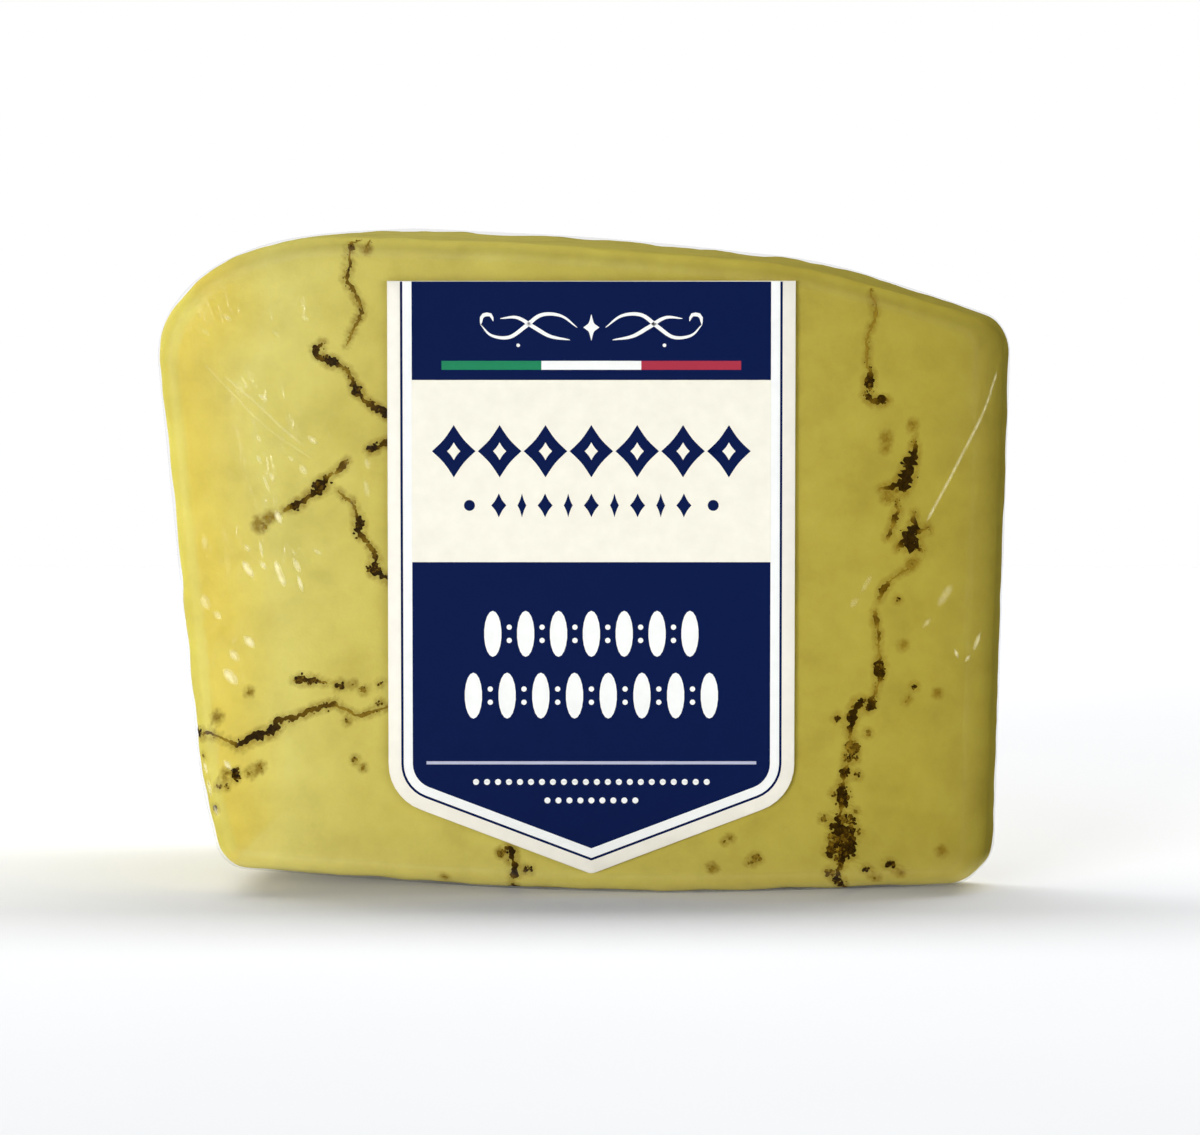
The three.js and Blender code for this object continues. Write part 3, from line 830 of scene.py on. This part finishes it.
def foldedFilm():
    # The same film where it has folded on itself: a soft pale stroke painted on as its glint, that
    # is densest on the fold's ridge and fades to nothing at its foot
    material, tree, bumped, slanted = crinkledFilm("folded_vacuum_film", 0.2)
    ridge = addNode(tree, "Attribute", attribute_name="ridge").outputs["Fac"]
    streaks = addNode(tree, "TexNoise", {"Vector": slanted, "Scale": 1 / (0.5 * mm), "Detail": 3})
    streaks = addNode(tree, "MapRange", {
        "Value": streaks.outputs["Fac"], "From Min": 0.35, "From Max": 0.6, "To Min": 0.5, "To Max": 0.9})
    cloud = addNode(tree, "Math", {0: ridge, 1: streaks.outputs[0]}, operation="MULTIPLY")
    # pale yellowish white painted on as the fold's glint; its own gloss glints as well
    paintedGlint = addNode(tree, "BsdfPrincipled", {
        "Base Color": linear("#fdf3c0"), "Roughness": 0.35, "IOR": 1.5, "Normal": bumped})
    outerSideOnly(tree, cloud.outputs[0], paintedGlint)
    return material


# More of them on the faces that the photograph hides: share of the way round, rings in from the
# back face's edge, and how many are tried
hiddenPleats = [(0.06, 26, 20), (0.9, 30, 22), (0.62, 30, 14), (0.45, 20, 10)]


def pleatPaths():
    rng = np.random.default_rng(19)
    paths = [([[x, frontY, z] for x, z in zip(row[:-2:2], row[1:-2:2])], *row[-2:]) for row in frontPleats]
    for place, ring, count in hiddenPleats:
        for _ in range(count):
            start = gridPoint(backEdge + ring + rng.normal(0, 9), place * around + rng.normal(0, 16))
            way = np.array([rng.normal(0.5, 0.25), 0, rng.normal(-1, 0.3)]) * rng.uniform(0.6, 2.4)
            fold = [start, start + way], rng.uniform(0.15, 0.36), rng.uniform(0.07, 0.16)
            apart = [np.linalg.norm(np.mean(fold[0], 0) - np.mean(other, 0)) for other, _, _ in paths]
            if min(apart) > film["foldsApart"]:
                paths.append(fold)
    return paths


foldPaths = pleatPaths()
foldSources = [[*row, 0, min(1, 1.2 * height / film["glintHeight"])] for path, _, height in foldPaths
               for row in smoothPath(path, 0.8)]
stretched = smoothStep(-fromEdge, -0.8, 0)
gathered = smoothStep(-fromEdge, -2.5, -0.3) * smoothStep(softField(skin, 11, 27), 0.1, 1.0)
loose = np.maximum(film["looseFold"] * nearness(skin, foldSources, film["looseReach"]),
                   film["looseEdge"] * stretched + film["looseGathered"] * gathered)
filmPoints = filmSkin()
makePiece("film", filmPoints, skinFaces, vacuumFilm(), "wrapped_wedge",
          fields={"loose": loose, "stretched": stretched})
filmTree = BVHTree.FromPolygons([Vector(p) for p in filmPoints], skinFaces)


def pleat(path, half, height):
    # a low tapering ridge that stands on the film, roof-shaped across and closed at both ends
    path = np.array(path, float)
    if len(path) == 2:
        path = path.mean(0) + (path - path.mean(0)) * film["foldLength"]
    step, sides = film["foldStep"], film["foldSides"]
    path = smoothPath(path, step)
    count = len(path)
    fromEnd = step * np.minimum(np.arange(count), np.arange(count)[::-1])
    swell = np.clip(fromEnd / min(film["taper"], 0.5 * step * count), 0.04, 1)
    swell = np.sin(0.5 * math.pi * swell) ** 0.8
    rise = min(height, film["foldSlope"] * half)

    def widthAt(k, across):
        return across * half * swell[k]

    def heightAt(k, up):
        roof = 1 - np.sqrt(np.maximum(1 - up ** 2, 0))
        return np.where(up > 0, roof, 0.3 * up) * rise * swell[k]

    points, faces = tube(filmTree, path, sides, widthAt, heightAt)
    section = np.clip(np.sin(np.arange(sides) * 2 * math.pi / sides), 0, 1) ** 4
    ridge = np.outer(swell ** 2, section) * min(1, height / film["glintHeight"]) ** 1.5
    return points, faces, np.concatenate([[0], ridge.ravel(), [0]])


def pleats():
    folds = Parts()
    for path, half, height in foldPaths:
        folds.add(*pleat(path, half * film["foldWidth"], height))
    points, faces, ridges = folds.all()
    makePiece("film_folds", points, faces, foldedFilm(), "wrapped_wedge",
              smooth=False, fields={"loose": np.ones(len(points)), "ridge": ridges})


pleats()
print("film: drawn over the cheese, with", len(foldPaths), "folds")


# Label: coated paper, square across the top, upright sides and a shield's point below

label = {
    "width": 45.8,
    "top": 69.5,
    "point": 2.5,            # height of the point
    "shoulder": 11.2,        # height at which the sides turn in towards the point
    "radius": 5.6,           # rounding of that turn
    "tipRadius": 1.4,
    "leastRadius": 0.25,     # what is left of the point's rounding further in
    "roundSteps": 7,
    "thickness": 0.5,        # down to the film
    "inside": 0.09,          # its face is this far inside the solid's front
    "wave": 0.012,           # how little it waves on the film
    "rim": 0.06,             # its edge is rounded by this much in
    "drop": 0.05,            # and this much back
    "inkStep": 0.012,        # each printed layer lies this far on the one below
    "grid": 2.6,             # the mesh is cut this fine, so that print and paper wave alike
    "keyline": (1.45, 1.72), # thin line, from the paper's edge
    "field": 2.75,           # printed shield, from the paper's edge
    "panel": (37.9, 58.4),   # cream panel, its foot and top
    "stripe": (59.55, 60.55, 33.6),      # foot, top and width
    "rule": (15.0, 15.35, 37.2),
    "paper": ("#f3efe2", 0.35, 0.45),    # colour, sheen and roughness
    "inks": {
        "navy": ("#0a1a49", 0.03, 0.5),
        "cream": ("#f4f1e2", 0.3, 0.45),
        "white": ("#f6f8f6", 0.3, 0.45),
        "green": ("#1a8459", 0.15, 0.45),
        "red": ("#aa3044", 0.15, 0.45),
        "pale": ("#b9bcd2", 0.3, 0.42),
    },
}
labelX = (labelLow[0] + labelHigh[0]) / 2
labelFace = labelLow[1] + label["inside"]


def shieldOutline(inset):
    # the label's outline moved in by inset, anticlockwise from the top left, open at the top
    half, steps = label["width"] / 2, label["roundSteps"]
    slope = math.atan2(label["shoulder"] - label["point"], half)
    reach = label["radius"] * math.tan((math.pi / 2 - slope) / 2)
    side = half - inset
    sideRadius = label["radius"] - inset
    tipRadius = max(label["tipRadius"] - inset, label["leastRadius"])
    tipRise = label["tipRadius"] * (1 / math.cos(slope) - 1)
    tipZ = label["point"] + tipRise + label["tipRadius"]
    tipZ += max(inset - label["tipRadius"] + label["leastRadius"], 0) / math.cos(slope)
    centreX, centreZ = half - label["radius"], label["shoulder"] + reach
    top = label["top"] - min(inset, label["rim"])
    points = [(-side, top)]
    for x, z, radius, start, turn in (
            (-centreX, centreZ, sideRadius, math.pi, math.pi / 2 - slope),
            (0, tipZ, tipRadius, 1.5 * math.pi - slope, 2 * slope),
            (centreX, centreZ, sideRadius, 1.5 * math.pi + slope, math.pi / 2 - slope)):
        for i in range(steps + 1):
            angle = start + turn * i / steps
            points.append((x + radius * math.cos(angle), z + radius * math.sin(angle)))
    return points + [(side, top)]


def paperWave(x, z):
    flat = np.stack([x, np.zeros_like(x), z], 1)
    return label["wave"] * (softField(flat, 34, 21) + 0.3 * softField(flat, 13, 22))


def flatPatch(loops):
    # triangles that fill one outline, or the strip between two open outlines of equal length
    if len(loops) == 2:
        outer, inner = loops
        points = list(outer) + list(inner)
        count = len(outer)
        return points, [[i, i + 1, count + i + 1, count + i] for i in range(count - 1)]
    points = list(loops[0])
    filled = geometry.tessellate_polygon([[Vector((x, z, 0)) for x, z in points]])
    return points, [list(f) for f in filled]


def cutPatch(loops):
    # a flat patch as a mesh in x and y, cut along a regular grid of lines
    points, faces = flatPatch(loops)
    shape = bmesh.new()
    verts = [shape.verts.new((x, z, 0)) for x, z in points]
    for face in faces:
        shape.faces.new([verts[i] for i in face])
    low, high, step = np.min(points, axis=0), np.max(points, axis=0), label["grid"]
    for axis, normal in enumerate(((1, 0, 0), (0, 1, 0))):
        for level in np.arange(math.ceil(low[axis] / step) * step, high[axis], step):
            whole = shape.verts[:] + shape.edges[:] + shape.faces[:]
            point = [level * share for share in normal]
            bmesh.ops.bisect_plane(shape, geom=whole, plane_co=point, plane_no=normal)
    bmesh.ops.recalc_face_normals(shape, faces=shape.faces)
    shape.verts.index_update()
    return shape


def printPiece(name, patches, layer, material):
    # flat printed shapes, laid on the paper's waves as one mesh
    flat, allFaces = [], []
    for loops in patches:
        shape = cutPatch(loops)
        base = len(flat)
        flat += [(v.co.x, v.co.y) for v in shape.verts]
        for face in shape.faces:
            loop = [base + v.index for v in face.verts]
            allFaces.append(loop if face.normal.z > 0 else loop[::-1])
        shape.free()
    x, z = np.array(flat).T
    y = labelFace + paperWave(x, z) - layer * label["inkStep"]
    makePiece(name, np.stack([x + labelX, y, z], 1), allFaces, material, "label")


def coatedPaper(name, colour, sheen, rough):
    # Coated label stock, lithographed: even colour with a faint cloudiness from the paper's
    # formation and a satin sheen; the ink's edge is crisp.
    material, tree, place = newMaterial(name)
    cloud = addNode(tree, "TexNoise", {
        "Vector": place, "Scale": 1 / (2.2 * mm), "Detail": 5, "Roughness": 0.6})
    shade = addNode(tree, "ValToRGB", {"Fac": cloud.outputs["Fac"]}, stops=[(0.25, 0.93), (0.7, 1.0)])
    tinted = addNode(tree, "Mix", {0: 1.0, 6: linear(colour), 7: shade.outputs[0]},
                     data_type="RGBA", blend_type="MULTIPLY")
    fibre = addNode(tree, "TexNoise", {
        "Vector": place, "Scale": 1 / (0.35 * mm), "Detail": 4, "Roughness": 0.6})
    bump = addNode(tree, "Bump", {
        "Height": fibre.outputs["Fac"], "Strength": 0.2, "Distance": 0.02 * mm})
    shader = addNode(tree, "BsdfPrincipled", {
        "Base Color": tinted.outputs[2], "Roughness": rough, "IOR": 1.5,
        "Specular IOR Level": sheen, "Normal": bump.outputs[0]})
    addNode(tree, "OutputMaterial", {"Surface": shader.outputs[0]})
    return material


def paperSheet():
    # front and back faces waved alike, joined by a narrow rounded edge
    shape = cutPatch([shieldOutline(label["rim"])])
    for face in shape.faces:
        if face.normal.z < 0:
            face.normal_flip()
    bmesh.ops.remove_doubles(shape, verts=shape.verts[:], dist=1e-5)
    middle, tall = (label["top"] + label["point"]) / 2, label["top"] - label["point"]
    for inset, depth in ((label["rim"], label["drop"]), (0, label["thickness"])):
        rim = [e for e in shape.edges if e.is_boundary]
        extruded = bmesh.ops.extrude_edge_only(shape, edges=rim)
        for vert in (v for v in extruded["geom"] if isinstance(v, bmesh.types.BMVert)):
            vert.co.x *= label["width"] / (label["width"] - 2 * inset)
            vert.co.y = middle + (vert.co.y - middle) * tall / (tall - 2 * inset)
            vert.co.z = -depth
    rim = [e for e in shape.edges if e.is_boundary]
    bmesh.ops.contextual_create(shape, geom=rim)
    bmesh.ops.triangulate(shape, faces=[f for f in shape.faces if len(f.verts) > 4])
    bmesh.ops.recalc_face_normals(shape, faces=shape.faces)
    shape.verts.index_update()
    x, z, out = np.array([v.co for v in shape.verts]).T
    faces = [[v.index for v in f.verts] for f in shape.faces]
    shape.free()
    points = np.stack([x + labelX, labelFace + paperWave(x, z) - out, z], 1)
    material = coatedPaper("coated_paper", *label["paper"])
    makePiece("label_sheet", points, faces, material, "label")


def box(left, right, foot, top):
    return [[(left, foot), (right, foot), (right, top), (left, top)]]


def lozenge(x, z, halfWidth, halfHeight, hollow):
    # four sides, each drawn in a little towards the middle
    corners = [(halfWidth, 0), (0, halfHeight), (-halfWidth, 0), (0, -halfHeight)]
    points = []
    for (ax, az), (bx, bz) in zip(corners, corners[1:] + corners[:1]):
        for t in np.linspace(0, 1, 6, endpoint=False):
            pull = 1 - hollow * math.sin(math.pi * t)
            points.append((x + (ax + (bx - ax) * t) * pull, z + (az + (bz - az) * t) * pull))
    return [points]


def pointedOval(x, z, halfWidth, halfHeight):
    t = np.linspace(0, math.pi, 10)
    right = [(x + halfWidth * math.sin(a), z - halfHeight * math.cos(a)) for a in t]
    left = [(x - halfWidth * math.sin(a), z + halfHeight * math.cos(a)) for a in t[1:-1]]
    return [right + left]


def roundDot(x, z, radius):
    return [[(x + radius * math.cos(a), z + radius * math.sin(a))
             for a in np.linspace(0, 2 * math.pi, 20, endpoint=False)]]


def scroll(points, halfWidth):
    # a tapering stroke along a curve
    path = smoothPath([(x, 0, z, 0) for x, z in points], ornaments["scrollStep"])
    flat = path[:, [0, 2]]
    ahead = np.gradient(flat, axis=0)
    ahead /= np.linalg.norm(ahead, axis=1)[:, None]
    share = np.linspace(0, 1, len(flat))
    half = halfWidth * np.sin(math.pi * share) ** 0.7 + ornaments["scrollEnd"]
    aside = np.stack([-ahead[:, 1], ahead[:, 0]], 1) * half[:, None]
    return [[tuple(p) for p in flat + aside], [tuple(p) for p in flat - aside]]


# Ornaments, from the top panel down; a row is its count, its pitch across the label and its height
ornaments = {
    "star": (0, 64.3, 0.9, 1.5, 0.35),   # middle, half width, half height, hollow of its sides
    "scrolls": [                         # beside the star on its right, mirrored on its left
        [(1.6, 64.3), (3.4, 65.6), (5.6, 65.7), (7.4, 64.4), (9.2, 63.2), (11.2, 63.4), (12.4, 64.6)],
        [(2.4, 62.9), (4.6, 63.3), (6.4, 64.3), (8.3, 65.4), (10.2, 65.3)],
        [(12.4, 64.6), (12.2, 65.6), (11.3, 65.7), (11.0, 65.0)],
    ],
    "scrollHalf": 0.19,                  # half the width of a stroke
    "scrollEnd": 0.03,                   # added to that, and left at its ends
    "scrollStep": 0.35,                  # between its points
    "scrollDot": (8.2, 62.3, 0.2),
    "lozenges": (7, 5.15, 50.4),
    "lozenge": (2.45, 2.95, 0.1),        # half width, half height, hollow
    "heart": (0.75, 1.0, 0.1),
    "smallLozenges": (9, 2.6, 44.3),     # broad and narrow ones in turn
    "smallLozenge": [(0.85, 1.35, 0.12), (0.5, 1.35, 0.12)],
    "endDot": (13.7, 44.3, 0.62),
    "beadRows": [(7, 3.7, 29.8), (8, 3.8, 22.8)],
    "bead": (0.98, 2.6),
    "beadDots": (0.75, 0.3),             # distance from the row's middle, radius
    "dotRows": [(22, 1.24, 13.0), (9, 1.24, 10.9)],
    "dot": 0.34,
}


def inRow(count, pitch, z):
    return [((i - (count - 1) / 2) * pitch, z) for i in range(count)]


def dotPair(x, z, radius):
    return [roundDot(side * x, z, radius) for side in (-1, 1)]


def labelPrint():
    inks = {name: coatedPaper(name + "_ink", *look) for name, look in label["inks"].items()}
    outerLine, innerLine = (shieldOutline(inset) for inset in label["keyline"])
    side = label["width"] / 2 - label["field"] + 0.02
    printPiece("print_white_band", [[innerLine]], 1, inks["white"])
    printPiece("print_keyline", [[outerLine, innerLine]], 2, inks["navy"])
    printPiece("print_field", [[shieldOutline(label["field"])]], 2, inks["navy"])
    printPiece("print_panel", [box(-side, side, *label["panel"])], 3, inks["cream"])
    foot, top, width = label["stripe"]
    for i, ink in enumerate(("green", "white", "red")):
        third = [box(-width / 2 + i * width / 3, -width / 2 + (i + 1) * width / 3, foot, top)]
        printPiece("print_stripe_" + ink, third, 3, inks[ink])

    flourish = [lozenge(*ornaments["star"])]
    for points in ornaments["scrolls"]:
        for way in (1, -1):
            flourish.append(scroll([(way * x, z) for x, z in points], ornaments["scrollHalf"]))
    flourish += dotPair(*ornaments["scrollDot"])
    printPiece("print_flourish", flourish, 3, inks["white"])

    spots = inRow(*ornaments["lozenges"])
    bands = [lozenge(*spot, *ornaments["lozenge"]) for spot in spots]
    bands += dotPair(*ornaments["endDot"])
    for i, spot in enumerate(inRow(*ornaments["smallLozenges"])):
        bands.append(lozenge(*spot, *ornaments["smallLozenge"][i % 2]))
    printPiece("print_lozenges", bands, 4, inks["navy"])
    hearts = [lozenge(*spot, *ornaments["heart"]) for spot in spots]
    printPiece("print_lozenge_hearts", hearts, 5, inks["cream"])

    beads = []
    rise, radius = ornaments["beadDots"]
    for count, pitch, z in ornaments["beadRows"]:
        spots = inRow(count, pitch, z)
        beads += [pointedOval(*spot, *ornaments["bead"]) for spot in spots]
        beads += [roundDot(x + pitch / 2, z + way * rise, radius) for x, _ in spots[:-1] for way in (-1, 1)]
    for row in ornaments["dotRows"]:
        beads += [roundDot(*spot, ornaments["dot"]) for spot in inRow(*row)]
    printPiece("print_beads", beads, 3, inks["white"])
    foot, top, width = label["rule"]
    printPiece("print_rule", [box(-width / 2, width / 2, foot, top)], 3, inks["pale"])


paperSheet()
labelPrint()
print("label: paper and print")


# Studio: pale floor, a softbox from the front left, one overhead and one from the front right

studio = {
    "floorHalf": 600,
    "floorFront": -260,      # it ends just in front of what the camera sees
    "floorBack": 420,
    "aim": 35,               # height that the lights look at
    # only the key shows in the film's gloss
    "key": {"at": (-460, -900, 105), "size": (460, 210), "power": 5.25, "glints": True},
    "over": {"at": (0, 312, 950), "size": (2400, 380), "power": 18.4, "glints": False},
    "fill": {"at": (760, -720, 105), "size": (700, 210), "power": 3.35, "glints": False},
}


def softbox(name, look):
    light = bpy.data.lights.new(name, "AREA")
    light.shape = "RECTANGLE"
    light.size, light.size_y = (side * mm for side in look["size"])
    light.energy = look["power"]
    lamp = bpy.data.objects.new(name, light)
    lamp.location = Vector(look["at"]) * mm
    aim = Vector((0, 0, studio["aim"] * mm)) - lamp.location
    lamp.rotation_euler = aim.to_track_quat("-Z", "Y").to_euler()
    lamp.visible_glossy = look["glints"]
    bpy.context.scene.collection.objects.link(lamp)


def makeFloor():
    half, front, back = (studio[side] * mm for side in ("floorHalf", "floorFront", "floorBack"))
    corners = [(-half, front, 0), (half, front, 0), (half, back, 0), (-half, back, 0)]
    mesh = bpy.data.meshes.new("floor")
    mesh.from_pydata(corners, [], [(0, 1, 2, 3)])
    floor = bpy.data.objects.new("floor", mesh)
    bpy.context.scene.collection.objects.link(floor)
    material, tree, place = newMaterial("matt_white_floor")
    faint = addNode(tree, "TexNoise", {"Vector": place, "Scale": 1 / (90 * mm), "Detail": 2})
    shade = addNode(tree, "ValToRGB", {"Fac": faint.outputs["Fac"]}, stops=[
        (0.3, "#eeeff1"), (0.7, "#f0f1f3")])
    shader = addNode(tree, "BsdfDiffuse", {"Color": shade.outputs[0], "Roughness": 0.4})
    addNode(tree, "OutputMaterial", {"Surface": shader.outputs[0]})
    mesh.materials.append(material)
    floor.visible_glossy = False         # nor does the floor, it would veil the truffle


def makeRoom():
    # the camera sees white; what lights the scene is dim in front and bright at the far left
    world = bpy.data.worlds.new("studio")
    bpy.context.scene.world = world
    world.use_nodes = True
    tree = world.node_tree
    tree.nodes.clear()
    way = addNode(tree, "TexCoord").outputs["Generated"]
    side = addNode(tree, "VectorMath", {0: way, 1: (-0.97, 0.24, 0.0)}, operation="DOT_PRODUCT")
    side = addNode(tree, "MapRange", {"Value": side.outputs["Value"], "From Min": -1.0})
    shade = addNode(tree, "ValToRGB", {"Fac": side.outputs[0]}, stops=[
        (0.35, 0.02), (0.62, 0.16), (0.8, 0.22), (1.0, 1.0)])
    seen = addNode(tree, "LightPath").outputs["Is Camera Ray"]
    room = addNode(tree, "Background", {"Color": shade.outputs[0]})
    white = addNode(tree, "Background", {"Color": (1, 1, 1, 1)})
    both = addNode(tree, "MixShader", {0: seen, 1: room.outputs[0], 2: white.outputs[0]})
    addNode(tree, "OutputWorld", {"Surface": both.outputs[0]})
    colours = bpy.context.scene.view_settings
    colours.view_transform, colours.look = "Standard", "None"


# Camera: nearly level, from far enough that the face's edges hardly converge

cameraView = {
    "target": (1.6, -24.0, 37.3),        # on the front cut face
    "elevation": math.radians(4.8),
    "distance": 600,
    "lens": 160,
    "sensor": 36,
    "nearest": 10,
}


def makeCamera():
    lens = bpy.data.cameras.new("camera")
    lens.lens, lens.sensor_width = cameraView["lens"], cameraView["sensor"]
    lens.clip_start = cameraView["nearest"] * mm
    camera = bpy.data.objects.new("camera", lens)
    elevation = cameraView["elevation"]
    away = Vector((0, -math.cos(elevation), math.sin(elevation)))
    camera.location = (Vector(cameraView["target"]) + away * cameraView["distance"]) * mm
    camera.rotation_euler = (-away).to_track_quat("-Z", "Y").to_euler()
    bpy.context.scene.collection.objects.link(camera)
    bpy.context.scene.camera = camera


makeFloor()
for name in ("key", "over", "fill"):
    softbox(name, studio[name])
makeRoom()
makeCamera()
print("studio: floor, lights and camera")
